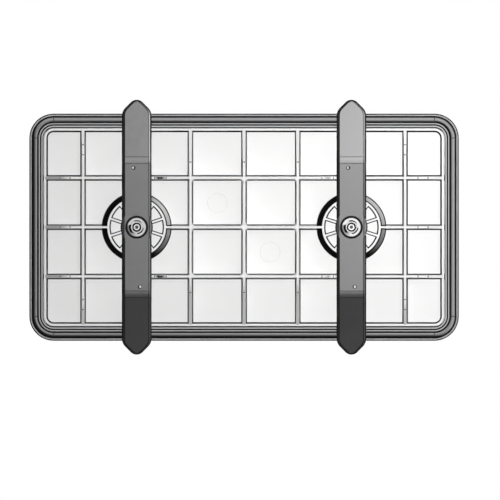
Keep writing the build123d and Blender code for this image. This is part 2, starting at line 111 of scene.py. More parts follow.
def blend_colours(tree, factor, first, second):
    """Mixes two colours, each a colour or a socket, by a factor socket."""
    mixer = tree.nodes.new("ShaderNodeMix")
    mixer.data_type = "RGBA"
    tree.links.new(factor, mixer.inputs["Factor"])
    for colour, socket in ((first, mixer.inputs["A"]), (second, mixer.inputs["B"])):
        if isinstance(colour, tuple):
            socket.default_value = (*colour, 1.0)
        else:
            tree.links.new(colour, socket)
    return mixer.outputs["Result"]


def math_node(tree, operation, first, second=None):
    node = tree.nodes.new("ShaderNodeMath")
    node.operation = operation
    for value, socket in ((first, node.inputs[0]), (second, node.inputs[1])):
        if value is None:
            continue
        if isinstance(value, (int, float)):
            socket.default_value = value
        else:
            tree.links.new(value, socket)
    return node.outputs["Value"]


def multiply(tree, first, second):
    return math_node(tree, "MULTIPLY", first, second)


def subtract(tree, first, second):
    return math_node(tree, "SUBTRACT", first, second)


def largest(tree, first, second):
    return math_node(tree, "MAXIMUM", first, second)


def absolute(tree, value):
    return math_node(tree, "ABSOLUTE", value)


def less_than(tree, value, limit):
    return math_node(tree, "LESS_THAN", value, limit)


def more_than(tree, value, limit):
    return math_node(tree, "GREATER_THAN", value, limit)


def add_bump(tree, shader, height, strength, distance):
    bump = tree.nodes.new("ShaderNodeBump")
    bump.inputs["Strength"].default_value = strength
    bump.inputs["Distance"].default_value = distance
    tree.links.new(height, bump.inputs["Height"])
    tree.links.new(bump.outputs["Normal"], shader.inputs["Normal"])
    return bump


def shade(colour, factor):
    return tuple(channel * factor for channel in colour)


def moulded_plastic(name, base, roughness, grain_scale, grain_depth, mottle=0.04):
    """Injection-moulded plastic: fine grain, slight mottling and uneven gloss."""
    material, tree, shader = new_material(name, base, roughness)
    mottling = spread(tree, noise(tree, 28.0, 4.0), 0.0, 1.0)
    colour = blend_colours(tree, mottling, shade(base, 1.0 - mottle),
                           shade(base, 1.0 + mottle / 2))
    tree.links.new(colour, shader.inputs["Base Color"])
    gloss = spread(tree, noise(tree, 140.0, 5.0), roughness - 0.03, roughness + 0.04)
    tree.links.new(gloss, shader.inputs["Roughness"])
    add_bump(tree, shader, noise(tree, grain_scale, 2.0), 0.35, grain_depth)
    return material, tree, shader


def worn_metal(name, base, roughness, stretch):
    """Bare metal with fine lines left by rolling or turning."""
    material, tree, shader = new_material(name, base, roughness, metallic=1.0)
    lines = noise(tree, 700.0, 4.0, stretch)
    tree.links.new(spread(tree, lines, roughness - 0.08, roughness + 0.14),
                   shader.inputs["Roughness"])
    colour = blend_colours(tree, spread(tree, noise(tree, 160.0), 0.0, 1.0), shade(base, 0.9),
                           base)
    tree.links.new(colour, shader.inputs["Base Color"])
    add_bump(tree, shader, lines, 0.2, 0.00005)
    return material


# The lid's white plastic: painted shade below, anti-slip pebbling on the deck side

LID_WHITE = (0.80, 0.80, 0.795)
LID_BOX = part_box("lid")
SKIN_THICKNESS = 4.0 * MM
WALL_DEPTH = 11.0 * MM
LID_SKIN_UNDERSIDE = LID_BOX[1].z - SKIN_THICKNESS
WALL_TIP = LID_SKIN_UNDERSIDE - WALL_DEPTH
# Painted shade under the lid: flanks, creases and slopes turned from the light darken towards
# these shades.
FLANK_TIP_SHADE = 0.80
SHADOW_SHADE = 0.015
CREASE_SHADE = 0.02
CONE_LIT_SIDE = (-0.86, 0.5, 0.0)
GRIP_PITCH = 5.0 * MM
DOME_TOP_R = 0.22 * GRIP_PITCH
DOME_FOOT_R = 0.34 * GRIP_PITCH
GRIP_MARGIN = 17.0 * MM
WELL_SPACING = 130.0 * MM
WELL_BORDER = 47.0 * MM


def axis_part(tree, vector, axis):
    parts = tree.nodes.new("ShaderNodeSeparateXYZ")
    tree.links.new(vector, parts.inputs[0])
    return parts.outputs[axis]


def facing_side(tree, normal, direction):
    """How far a face is turned towards a direction, from -1 to 1."""
    product = tree.nodes.new("ShaderNodeVectorMath")
    product.operation = "DOT_PRODUCT"
    product.inputs[1].default_value = direction
    tree.links.new(normal, product.inputs[0])
    return product.outputs["Value"]


def hypotenuse(tree, first, second):
    squares = math_node(tree, "ADD", math_node(tree, "POWER", first, 2.0),
                        math_node(tree, "POWER", second, 2.0))
    return math_node(tree, "SQRT", squares)


def latch_offset(tree):
    """How far a point lies from the nearer latch's middle, along X."""
    x = axis_part(tree, object_coordinates(tree), "X")
    return subtract(tree, x, multiply(tree, math_node(tree, "SIGN", x), WELL_SPACING))


def latch_radius(tree):
    """Distance from the nearer latch's axis."""
    return hypotenuse(tree, latch_offset(tree), axis_part(tree, object_coordinates(tree), "Y"))


def thin_line(tree, value, middle, half):
    """One where a value is at its middle, fading out to nothing at half a width away."""
    away = absolute(tree, subtract(tree, value, middle))
    return spread(tree, away, 1.0, 0.0, 0.5 * half, half)


def grip_dots(tree):
    """Staggered low domes on the deck side, but not near its edge or the wells."""
    place = object_coordinates(tree)
    x = axis_part(tree, place, "X")
    y = axis_part(tree, place, "Y")
    domes = None
    for shift in (0.0, 0.5):
        across = math_node(tree, "PINGPONG", math_node(tree, "ADD", x, shift * GRIP_PITCH),
                           GRIP_PITCH / 2)
        along = math_node(tree, "PINGPONG", math_node(tree, "ADD", y, shift * GRIP_PITCH),
                          GRIP_PITCH / 2)
        distance = hypotenuse(tree, across, along)
        dome = spread(tree, distance, 1.0, 0.0, DOME_TOP_R, DOME_FOOT_R)
        domes = dome if domes is None else largest(tree, domes, dome)
    inside = None
    for value, limit in ((x, LID_BOX[1].x - GRIP_MARGIN), (y, LID_BOX[1].y - GRIP_MARGIN)):
        edge = spread(tree, absolute(tree, value), 1.0, 0.0, limit, limit + MM)
        inside = edge if inside is None else multiply(tree, inside, edge)
    beyond_well = spread(tree, latch_radius(tree), 0.0, 1.0, WELL_BORDER, WELL_BORDER + MM)
    deck_side = more_than(tree, axis_part(tree, place, "Z"), LID_BOX[1].z - MM)
    shown = multiply(tree, multiply(tree, inside, beyond_well), deck_side)
    return multiply(tree, domes, shown)


WELL_HUB_R = 13.0 * MM
WELL_RIM_INNER_R = 33.1 * MM
WELL_RIM_OUTER_R = 36.1 * MM
WELL_CONE_R = 41.4 * MM
WELL_FLOOR_Z = -9.0 * MM
SPOKE_HALF = 1.1 * MM
SPOKE_STEP = math.radians(36.0)
CREASE_WIDTH = 1.25 * MM
OFF_RIB = 1.4 * MM
KNOB_WELL_RADII = (36.3 * MM, 40.1 * MM)
KNOB_WELL_HEIGHTS = (-6.0 * MM, 8.0 * MM)
KNOB_WELL_FLOOR = -6.4 * MM


def inside_well(tree):
    """One on the well's inner wall and floor, which the knob sits in."""
    height = axis_part(tree, object_coordinates(tree), "Z")
    middle = spread(tree, height, *KNOB_WELL_RADII, *KNOB_WELL_HEIGHTS)
    within = less_than(tree, latch_radius(tree), middle)
    return multiply(tree, within, more_than(tree, height, KNOB_WELL_FLOOR))


def well_creases(tree):
    """Painted shade in the corners where the spokes, the rim and the cone of each well meet."""
    place = object_coordinates(tree)
    y = axis_part(tree, place, "Y")
    z = axis_part(tree, place, "Z")
    x = subtract(tree, absolute(tree, axis_part(tree, place, "X")), WELL_SPACING)
    radius = latch_radius(tree)
    angle = math_node(tree, "ARCTAN2", y, x)
    from_spoke = absolute(tree,
                          math_node(tree, "SUBTRACT",
                                    math_node(tree, "PINGPONG", angle, SPOKE_STEP / 2),
                                    SPOKE_STEP / 2))
    away = multiply(tree, radius, math_node(tree, "SINE", from_spoke))
    beside = spread(tree, away, 1.0, 0.0, SPOKE_HALF + 0.85 * CREASE_WIDTH,
                    SPOKE_HALF + 1.15 * CREASE_WIDTH)
    between = math_node(tree, "MULTIPLY", more_than(tree, radius, WELL_HUB_R),
                        less_than(tree, radius, WELL_RIM_INNER_R))
    on_floor = more_than(tree, z, WELL_FLOOR_Z - MM)
    beside = multiply(tree, beside, multiply(tree, between, on_floor))
    off_rib = more_than(tree, absolute(tree, y), OFF_RIB)
    lines = beside
    for middle, half in ((WELL_RIM_INNER_R - 0.6 * MM, 1.4),
                         (WELL_RIM_OUTER_R + 0.2 * MM, 0.95), (WELL_CONE_R + 0.2 * MM, 0.9),
                         (WELL_HUB_R + 0.3 * MM, 0.8)):
        distance = absolute(tree, subtract(tree, radius, middle))
        ring = spread(tree, distance, 1.0, 0.0, 0.6 * half * MM, half * MM)
        if middle < WELL_RIM_INNER_R:
            ring = multiply(tree, ring, on_floor)
        if middle > WELL_RIM_OUTER_R:
            ring = multiply(tree, ring, off_rib)
        lines = largest(tree, lines, ring)
    over_cone = multiply(tree, more_than(tree, radius, WELL_RIM_OUTER_R),
                         less_than(tree, radius, WELL_CONE_R))
    beside_rib = thin_line(tree, absolute(tree, y), 2.0 * MM, 0.9 * MM)
    lines = largest(tree, lines, multiply(tree, beside_rib, over_cone))
    under = less_than(tree, z, LID_BOX[1].z - 3.0 * MM)
    return multiply(tree, lines, under)


LID_CORNER_R = 29.5 * MM


def edge_inset(tree):
    """How far a point lies inside the lid's rounded outline."""
    place = object_coordinates(tree)
    beyond = []
    for axis, half in (("X", LID_BOX[1].x), ("Y", LID_BOX[1].y)):
        reach = absolute(tree, axis_part(tree, place, axis))
        beyond.append(subtract(tree, reach, half - LID_CORNER_R))
    round_part = hypotenuse(tree, *[largest(tree, value, 0.0) for value in beyond])
    flat_part = math_node(tree, "MINIMUM", largest(tree, beyond[0], beyond[1]), 0.0)
    return subtract(tree, LID_CORNER_R, math_node(tree, "ADD", round_part, flat_part))


RIB_COLUMN_PITCH = 65.0 * MM
RIB_ROW_PITCH = 59.7 * MM
RIB_FOOT = 2.4 * MM
WALL_FOOT_INSET = 21.3 * MM
WALL_MIDDLE_INSET = 19.2 * MM


def rib_creases(tree):
    """Painted shade in the corners where the ribs and the wall meet the skin."""
    place = object_coordinates(tree)
    x = axis_part(tree, place, "X")
    y = axis_part(tree, place, "Y")
    lines = None
    for value, pitch in ((x, RIB_COLUMN_PITCH), (y, RIB_ROW_PITCH)):
        from_rib = math_node(tree, "PINGPONG", value, pitch / 2)
        away = subtract(tree, from_rib, RIB_FOOT)
        line = spread(tree, away, 1.0, 0.0, 0.85 * MM, 1.2 * MM)
        lines = line if lines is None else largest(tree, lines, line)
    from_wall = absolute(tree, subtract(tree, edge_inset(tree), WALL_FOOT_INSET))
    lines = largest(tree, lines, spread(tree, from_wall, 1.0, 0.0, 1.0 * MM, 1.4 * MM))
    lines = largest(tree, lines, less_than(tree, edge_inset(tree), 0.5 * MM))
    on_skin = math_node(tree, "COMPARE", axis_part(tree, place, "Z"), LID_SKIN_UNDERSIDE)
    on_skin.node.inputs[2].default_value = 0.3 * MM
    return multiply(tree, lines, on_skin)


CENTRE_END = 100.0 * MM
ROW_BENDS = (94.3 * MM, 108.2 * MM, 210.7 * MM, 222.9 * MM)
OUTER_COLUMN_BENDS = (87.7 * MM, 99.9 * MM)
CENTRE_COLUMN_BENDS = (78.9 * MM,)


def tip_bends(tree):
    """Painted shade lines across the ribs' tips, where their ends bend down."""
    place = object_coordinates(tree)
    x = axis_part(tree, place, "X")
    y = axis_part(tree, place, "Y")
    along = absolute(tree, x)
    across = absolute(tree, y)
    outer = more_than(tree, along, CENTRE_END)
    inner = subtract(tree, 1.0, outer)
    on_row = less_than(tree, math_node(tree, "PINGPONG", y, RIB_ROW_PITCH / 2), RIB_FOOT)
    on_column = less_than(tree, math_node(tree, "PINGPONG", x, RIB_COLUMN_PITCH / 2), RIB_FOOT)
    lines = None
    for value, bends, mask in ((along, ROW_BENDS, on_row),
                               (across, OUTER_COLUMN_BENDS, multiply(tree, on_column, outer)),
                               (across, CENTRE_COLUMN_BENDS, multiply(tree, on_column, inner))):
        for bend in bends:
            line = multiply(tree, thin_line(tree, value, bend, 0.85 * MM), mask)
            lines = line if lines is None else largest(tree, lines, line)
    on_tip = less_than(tree, axis_part(tree, place, "Z"), WALL_TIP - 3.0 * MM)
    off_well = more_than(tree, latch_radius(tree), WELL_CONE_R)
    return multiply(tree, lines, multiply(tree, on_tip, off_well))


def cone_side(tree):
    """How far a point round a well lies towards the cone's lit side, from -1 to 1, for painted
    shade.
    """
    place = object_coordinates(tree)
    along = multiply(tree, latch_offset(tree), CONE_LIT_SIDE[0])
    across = multiply(tree, axis_part(tree, place, "Y"), CONE_LIT_SIDE[1])
    return math_node(tree, "DIVIDE", math_node(tree, "ADD", along, across), latch_radius(tree))


def lid_material():
    """White moulded plastic: matt, with painted shade on the flanks, slopes and creases under the
    lid, and grip dots on the deck side.
    """
    material, tree, shader = moulded_plastic("lid_plastic", LID_WHITE, 0.42, 2600.0, 0.00004,
                                             0.012)
    mottled = shader.inputs["Base Color"].links[0].from_socket
    geometry = tree.nodes.new("ShaderNodeNewGeometry")
    height = axis_part(tree, object_coordinates(tree), "Z")
    steepness = absolute(tree, axis_part(tree, geometry.outputs["True Normal"], "Z"))
    flank = spread(tree, steepness, 1.0, 0.0, 0.30, 0.42)
    below = less_than(tree, height, LID_SKIN_UNDERSIDE)
    within = more_than(tree, edge_inset(tree), WALL_MIDDLE_INSET)
    outside = subtract(tree, 1.0, inside_well(tree))
    flank = multiply(tree, multiply(tree, flank, below), multiply(tree, within, outside))
    # Painted shade: the flanks darken towards their foot, where shade gathers.
    foot = spread(tree, height, 0.0, 1.0, WALL_TIP - 14.0 * MM, WALL_TIP + 8.0 * MM)
    foot = math_node(tree, "POWER", foot, 2.2)
    painted_shade = blend_colours(tree, foot, shade(LID_WHITE, FLANK_TIP_SHADE),
                          shade(LID_WHITE, SHADOW_SHADE))
    # Painted shade on slopes and round the cones: darker on the side turned from the light,
    # lighter on the lit side.
    sloped = more_than(tree, steepness, 0.15)
    side = facing_side(tree, geometry.outputs["True Normal"], CONE_LIT_SIDE)
    near_cone = less_than(tree, latch_radius(tree), WELL_CONE_R + 2.0 * MM)
    towards = tree.nodes.new("ShaderNodeMix")
    tree.links.new(near_cone, towards.inputs["Factor"])
    tree.links.new(side, towards.inputs["A"])
    rounded = math_node(tree, "POWER", largest(tree, cone_side(tree), 0.0), 2.0)
    tree.links.new(spread(tree, rounded, -0.25, 0.62, 0.0, 1.0), towards.inputs["B"])
    lit_side = spread(tree, towards.outputs["Result"], 0.0, 1.0, -0.25, 0.80)
    cone = blend_colours(tree, lit_side, shade(LID_WHITE, SHADOW_SHADE), shade(LID_WHITE, 0.85))
    painted_shade = blend_colours(tree, sloped, painted_shade, cone)
    dots = grip_dots(tree)
    scuffed = blend_colours(tree, multiply(tree, dots, 0.35), mottled, shade(LID_WHITE, 0.86))
    colour = blend_colours(tree, flank, scuffed, painted_shade)
    # Painted shade lines in the creases of the wells, the ribs and the wall.
    creases = largest(tree, multiply(tree, well_creases(tree), outside), rib_creases(tree))
    colour = blend_colours(tree, creases, colour, shade(LID_WHITE, CREASE_SHADE))
    # Painted shade on slopes turned from the light, and painted shade lines at the ribs' bends.
    turned_from_light = spread(tree, side, 0.96, 0.0, -0.60, -0.06)
    on_slope = multiply(tree, more_than(tree, steepness, 0.42), below)
    turned_from_light = multiply(tree, turned_from_light, multiply(tree, on_slope, within))
    bends = multiply(tree, multiply(tree, tip_bends(tree), 0.85), on_slope)
    colour = blend_colours(tree, largest(tree, turned_from_light, bends), colour,
                           shade(LID_WHITE, CREASE_SHADE))
    tree.links.new(colour, shader.inputs["Base Color"])
    # Where shade is painted, the shine is taken away too.
    shaded_side = subtract(tree, 1.0, lit_side)
    shadowed = math_node(tree, "ADD", multiply(tree, sloped, shaded_side),
                       multiply(tree, subtract(tree, 1.0, sloped), foot))
    dull = largest(tree, multiply(tree, flank, shadowed), creases)
    dull = largest(tree, dull, turned_from_light)
    tree.links.new(spread(tree, dull, 0.5, 0.0, 0.0, 1.0), shader.inputs["Specular IOR Level"])
    grain = shader.inputs["Normal"].links[0].from_node
    raised = tree.nodes.new("ShaderNodeBump")
    raised.inputs["Strength"].default_value = 0.8
    raised.inputs["Distance"].default_value = 0.6 * MM
    tree.links.new(dots, raised.inputs["Height"])
    tree.links.new(raised.outputs["Normal"], grain.inputs["Normal"])
    return material


# Painted shade lines along the gasket: their insets from the lid's edge and half widths.
CREASES = ((0.6 * MM, 1.1 * MM), (3.8 * MM, 1.7 * MM), (10.4 * MM, 1.7 * MM),
           (13.7 * MM, 1.3 * MM), (17.1 * MM, 1.4 * MM))
BULB_EDGES = (3.5 * MM, 10.4 * MM)
SEAM_HALF = 0.8 * MM
GASKET_LIT_SIDE = (-0.707, 0.707, 0.0)
BULB_LEAN = 0.25


def corner_seams(tree):
    """Fine lines across the gasket where its straight lengths are joined to its corners."""
    place = object_coordinates(tree)
    reach = [absolute(tree, axis_part(tree, place, axis)) for axis in ("X", "Y")]
    start = (LID_BOX[1].x - LID_CORNER_R, LID_BOX[1].y - LID_CORNER_R)
    first = multiply(tree, thin_line(tree, reach[0], start[0], SEAM_HALF),
                     more_than(tree, reach[1], start[1]))
    second = multiply(tree, thin_line(tree, reach[1], start[1], SEAM_HALF),
                      more_than(tree, reach[0], start[0]))
    return multiply(tree, largest(tree, first, second), 0.8)


def outward_side(tree):
    """How far the nearest stretch of the lid's edge faces the lit side, from -1 to 1."""
    place = object_coordinates(tree)
    outward = tree.nodes.new("ShaderNodeCombineXYZ")
    for axis, half in (("X", LID_BOX[1].x), ("Y", LID_BOX[1].y)):
        value = axis_part(tree, place, axis)
        beyond = subtract(tree, absolute(tree, value), half - LID_CORNER_R)
        beyond = multiply(tree, largest(tree, beyond, 0.0), math_node(tree, "SIGN", value))
        tree.links.new(beyond, outward.inputs[axis])
    unit = tree.nodes.new("ShaderNodeVectorMath")
    unit.operation = "NORMALIZE"
    tree.links.new(outward.outputs["Vector"], unit.inputs[0])
    return facing_side(tree, unit.outputs["Vector"], GASKET_LIT_SIDE)


def gasket_material():
    """Matte grey rubber with a dusty bloom, with painted shade in the creases beside its bulb and
    its lip and on the bulb's side turned from the light.
    """
    base = (0.165, 0.165, 0.168)
    material, tree, shader = new_material("gasket_rubber", base, 0.6)
    bloom = spread(tree, noise(tree, 45.0, 6.0), 0.0, 1.0)
    colour = blend_colours(tree, bloom, shade(base, 0.94), shade(base, 1.06))
    normal = tree.nodes.new("ShaderNodeTexCoord").outputs["Normal"]
    steepness = absolute(tree, axis_part(tree, normal, "Z"))
    below = less_than(tree, axis_part(tree, normal, "Z"), 0.0)
    inset = edge_inset(tree)
    # Painted shade on steep faces and in lines along the creases.
    crease = multiply(tree, spread(tree, steepness, 0.85, 0.0, 0.50, 1.0),
                      spread(tree, inset, 0.0, 1.0, 0.8 * MM, 1.2 * MM))
    face_down = spread(tree, steepness, 0.0, 1.0, 0.1, 0.3)
    for middle, half in CREASES:
        away = absolute(tree, subtract(tree, inset, middle))
        line = multiply(tree, spread(tree, away, 1.0, 0.0, 0.4 * half, half), face_down)
        crease = largest(tree, crease, line)
    on_bulb = multiply(tree, more_than(tree, inset, BULB_EDGES[0]),
                       less_than(tree, inset, BULB_EDGES[1]))
    # The down-facing strips beside the bulb, and the bulb itself, are lighter.
    beside_bulb = multiply(tree, subtract(tree, 1.0, on_bulb), multiply(tree, face_down, below))
    colour = blend_colours(tree, beside_bulb, colour, shade(base, 2.6))
    colour = blend_colours(tree, on_bulb, colour, shade(base, 1.4))
    # Painted shading across the bulb: its half turned from the light is darker, as if it were
    # round.
    lean = spread(tree, inset, BULB_LEAN + 1.0, BULB_LEAN - 1.0, *BULB_EDGES)
    towards = multiply(tree, lean, outward_side(tree))
    shaded = largest(tree, spread(tree, towards, 0.95, 0.0, -0.42, 0.14),
                     spread(tree, towards, 0.0, 0.75, 0.38, 0.80))
    shaded = multiply(tree, shaded, on_bulb)
    seams = multiply(tree, corner_seams(tree), on_bulb)
    crease = largest(tree, crease, multiply(tree, largest(tree, shaded, seams), below))
    colour = blend_colours(tree, crease, colour, shade(base, CREASE_SHADE))
    tree.links.new(colour, shader.inputs["Base Color"])
    tree.links.new(spread(tree, crease, 0.36, 0.0, 0.0, 1.0),
                   shader.inputs["Specular IOR Level"])
    tree.links.new(spread(tree, noise(tree, 260.0), 0.5, 0.72), shader.inputs["Roughness"])
    add_bump(tree, shader, noise(tree, 1900.0, 3.0), 0.4, 0.00006)
    return material


def darken(tree, shader, factor, colour):
    """Blends the material's colour towards another one, and takes its shine away there."""
    before = shader.inputs["Base Color"].links[0].from_socket
    tree.links.new(blend_colours(tree, factor, before, colour), shader.inputs["Base Color"])
    tree.links.new(spread(tree, factor, 0.5, 0.0, 0.0, 1.0),
                   shader.inputs["Specular IOR Level"])


BAR_BENDS = (77.2 * MM, 85.2 * MM)
BULGE_HALF = 7.6 * MM
BULGE_R = 17.9 * MM
HUB_EDGE = 14.9 * MM
HUB_HALF = 13.4 * MM
BUSH_EDGE_R = 13.2 * MM
DRAIN_X = 3.9 * MM
DRAIN_Y = 72.0 * MM
DRAIN_EDGE_R = 1.9 * MM


def drain_radius(tree):
    """Distance from the nearer drain hole in a bar."""
    y = axis_part(tree, object_coordinates(tree), "Y")
    across = multiply(tree, latch_offset(tree), math_node(tree, "SIGN", y))
    across = subtract(tree, across, DRAIN_X)
    along = subtract(tree, absolute(tree, y), DRAIN_Y)
    return hypotenuse(tree, across, along)


def bar_material():
    """Dark moulded plastic, with painted shade on its rounded edges, at its bends and round its
    middle.
    """
    material, tree, shader = moulded_plastic("bar_plastic", (0.060, 0.060, 0.062), 0.42, 1300.0,
                                             0.00007)
    normal = tree.nodes.new("ShaderNodeTexCoord").outputs["Normal"]
    facing = axis_part(tree, normal, "X")
    steepness = absolute(tree, axis_part(tree, normal, "Z"))
    below = less_than(tree, axis_part(tree, normal, "Z"), 0.0)
    upright = spread(tree, steepness, 0.0, 1.0, 0.06, 0.16)
    # Painted shade: a dark outline on the steep rounding, the rounding turned from the light, and
    # lines along the rounding.
    outline = multiply(tree, spread(tree, steepness, 1.0, 0.0, 0.60, 0.80), upright)
    shaded_side = multiply(tree, spread(tree, facing, 0.0, 0.80, 0.06, 0.30), upright)
    face_down = spread(tree, steepness, 0.0, 1.0, 0.3, 0.6)
    tangent = multiply(tree, thin_line(tree, absolute(tree, facing), 0.18, 0.16), 0.85)
    tangent = multiply(tree, tangent, face_down)
    painted_shade = largest(tree, largest(tree, outline, shaded_side), tangent)
    across = absolute(tree, axis_part(tree, object_coordinates(tree), "Y"))
    # Painted shade round the hub's bulge and along the hub's edges, darker on the side turned from
    # the light.
    bulge = multiply(tree,
                     spread(tree, latch_radius(tree), 0.0, 1.0, BULGE_R, BULGE_R + 0.6 * MM),
                     less_than(tree, across, BULGE_HALF))
    beside = latch_offset(tree)
    shaded_edge = spread(tree, beside, 0.0, 0.80, HUB_EDGE - 0.8 * MM, HUB_EDGE + 0.2 * MM)
    shade_line = thin_line(tree, beside, -HUB_EDGE - 0.3 * MM, 0.7 * MM)
    hub_edges = multiply(tree, largest(tree, shaded_edge, shade_line),
                         less_than(tree, across, HUB_HALF))
    bulge = multiply(tree, largest(tree, bulge, hub_edges), face_down)
    painted_shade = largest(tree, painted_shade, bulge)
    # Painted shade lines round the bush and the drain holes, and across the bends.
    for radius, middle, half in ((latch_radius(tree), BUSH_EDGE_R, 0.9 * MM),
                                 (drain_radius(tree), DRAIN_EDGE_R, 0.6 * MM)):
        painted_shade = largest(tree, painted_shade, thin_line(tree, radius, middle, half))
    for bend in BAR_BENDS:
        painted_shade = largest(tree, painted_shade,
                        multiply(tree, thin_line(tree, across, bend, 0.8 * MM), 0.5))
    painted_shade = multiply(tree, painted_shade, below)
    darken(tree, shader, painted_shade, (0.008, 0.008, 0.008))
    rubbed_end = spread(tree, axis_part(tree, normal, "Y"), 0.85, 0.0, -0.26, -0.05)
    rubbed_edge = spread(tree, facing, 0.40, 0.0, -0.60, -0.15)
    dull = largest(tree, largest(tree, painted_shade, rubbed_end), rubbed_edge)
    tree.links.new(spread(tree, dull, 0.5, 0.0, 0.0, 1.0), shader.inputs["Specular IOR Level"])
    return material


PILOT_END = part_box("spindle_left")[0].z
END_POCKET_R = 5.75 * MM
CLIP_RIM = (10.9 * MM, 11.3 * MM)
SCREW_SOCKET_R = 2.4 * MM
SCREW_RIM = (3.5 * MM, 3.8 * MM)


def spindle_material():
    """White moulded plastic, with painted shade in its end pocket and behind its clip."""
    material, tree, shader = moulded_plastic("spindle_plastic", (0.66, 0.66, 0.65), 0.38,
                                             1800.0, 0.00004)
    height = axis_part(tree, object_coordinates(tree), "Z")
    radius = latch_radius(tree)
    pocket = multiply(tree, less_than(tree, radius, END_POCKET_R),
                      more_than(tree, height, PILOT_END + 0.25 * MM))
    shoulder = math_node(tree, "COMPARE", height, PILOT_END + 4.2 * MM)
    shoulder.node.inputs[2].default_value = 2.2 * MM
    # Painted shade in the pocket and on the shoulder behind the clip.
    behind = largest(tree, pocket, shoulder)
    darken(tree, shader, behind, (0.01, 0.01, 0.01))
    return material


def bush_material():
    """Near-black plastic that runs on the thread without grease, with painted shade where it meets
    the bar.
    """
    material, tree, shader = moulded_plastic("bush_plastic", (0.024, 0.024, 0.025), 0.5, 1400.0,
                                             0.00005)
    # Painted shade beyond the clip's rim.
    darken(tree, shader, spread(tree, latch_radius(tree), 0.0, 1.0, *CLIP_RIM),
           (0.01, 0.01, 0.01))
    return material


def clip_material():
    """Spring steel, with painted shade round its outer edge and on the side turned from the light.
    """
    material = worn_metal("clip_steel", (0.155, 0.155, 0.155), 0.45, (1.0, 9.0, 1.0))
    tree = material.node_tree
    rim = spread(tree, latch_radius(tree), 0.0, 1.0, *CLIP_RIM)
    # Painted shade on the part of the clip turned from the light.
    shaded_arc = spread(tree, cone_side(tree), 0.60, 0.0, -0.95, -0.55)
    darken(tree, tree.nodes["Principled BSDF"], largest(tree, rim, shaded_arc), (0.01, 0.01, 0.01))
    return material


def screw_material():
    """Stainless steel with painted shade down in its hexagonal socket and round its head."""
    material = worn_metal("screw_steel", (0.20, 0.20, 0.20), 0.40, (6.0, 6.0, 1.0))
    tree = material.node_tree
    shader = tree.nodes["Principled BSDF"]
    height = axis_part(tree, object_coordinates(tree), "Z")
    inside = less_than(tree, latch_radius(tree), SCREW_SOCKET_R)
    socket = multiply(tree, inside, more_than(tree, height, PILOT_END + 0.3 * MM))
    rim = spread(tree, latch_radius(tree), 0.0, 1.0, *SCREW_RIM)
    # Painted shade in the socket and round the head.
    darken(tree, shader, largest(tree, socket, rim), (0.02, 0.02, 0.02))
    return material


MATERIALS = {"lid_plastic": lid_material(), "gasket_rubber": gasket_material(),
             "knob_plastic": moulded_plastic("knob_plastic", (0.10, 0.10, 0.105), 0.45, 1500.0,
                                             0.00008)[0],
             "brass_insert": worn_metal("brass_insert", (0.78, 0.58, 0.28), 0.3,
                                        (1.0, 1.0, 8.0)),
             "washer_plastic": moulded_plastic("washer_plastic", (0.72, 0.72, 0.68), 0.3, 900.0,
                                               0.00003)[0],
             "seal_rubber": moulded_plastic("seal_rubber", (0.02, 0.02, 0.02), 0.5, 1200.0,
                                            0.00003)[0], "spindle_plastic": spindle_material(),
             "clip_steel": clip_material(), "bush_plastic": bush_material(),
             "bar_plastic": bar_material(), "screw_steel": screw_material(), }

SLOT_OF = {part["node"]: part["material_slot"] for part in frame["record"]["subparts"]}
for node_name, node in nodes.items():
    for material_slot in node.material_slots:
        material_slot.material = MATERIALS[SLOT_OF[node_name]]


# Threaded spindles: the plain CAD core with its real thread, grooves, pilot and screw pocket

THREAD_PITCH = 6.0 * MM
THREAD_ROOT_R = 7.7 * MM
CREST_R = 9.5 * MM
PILOT_R = 7.1 * MM
GROOVE_R = 6.5 * MM
POCKET_R = 5.6 * MM
BORE_R = 2.75 * MM
DRIVE_HALF = 6.0 * MM
DRIVE_HEIGHT = 7.0 * MM
PILOT_LENGTH = 4.0 * MM
POCKET_DEPTH = 5.0 * MM
RING_COLUMNS = 96
THREAD_STEP = 0.3 * MM


def ramp(value, start, end):
    return min(1.0, max(0.0, (value - start) / (end - start)))


def thread_radius(angle, z, top, bottom):
    """A right-hand trapezoidal thread that runs out at both of its ends."""
    phase = (z / THREAD_PITCH - angle / (2 * math.pi)) % 1.0
    ridge = ramp(abs(phase - 0.5), 0.34, 0.17)
    fade = min(ramp(top - z, 0.0, 2.5 * MM), ramp(z - bottom, -0.6 * MM, 1.4 * MM))
    body = THREAD_ROOT_R + (CREST_R - THREAD_ROOT_R) * ridge
    shank = CREST_R if top - z < 0.05 * MM else body
    return THREAD_ROOT_R + (shank - THREAD_ROOT_R) * (fade if shank is body else 1.0)


def ring_points(place_x, z, radius):
    """One ring of points; radius is a number or a function of the angle."""
    points = []
    for column in range(RING_COLUMNS):
        angle = 2 * math.pi * column / RING_COLUMNS
        reach = radius(angle) if callable(radius) else radius
        points.append((place_x + reach * math.cos(angle), reach * math.sin(angle), z))
    return points


def square_radius(angle):
    return DRIVE_HALF / max(abs(math.cos(angle)), abs(math.sin(angle)))


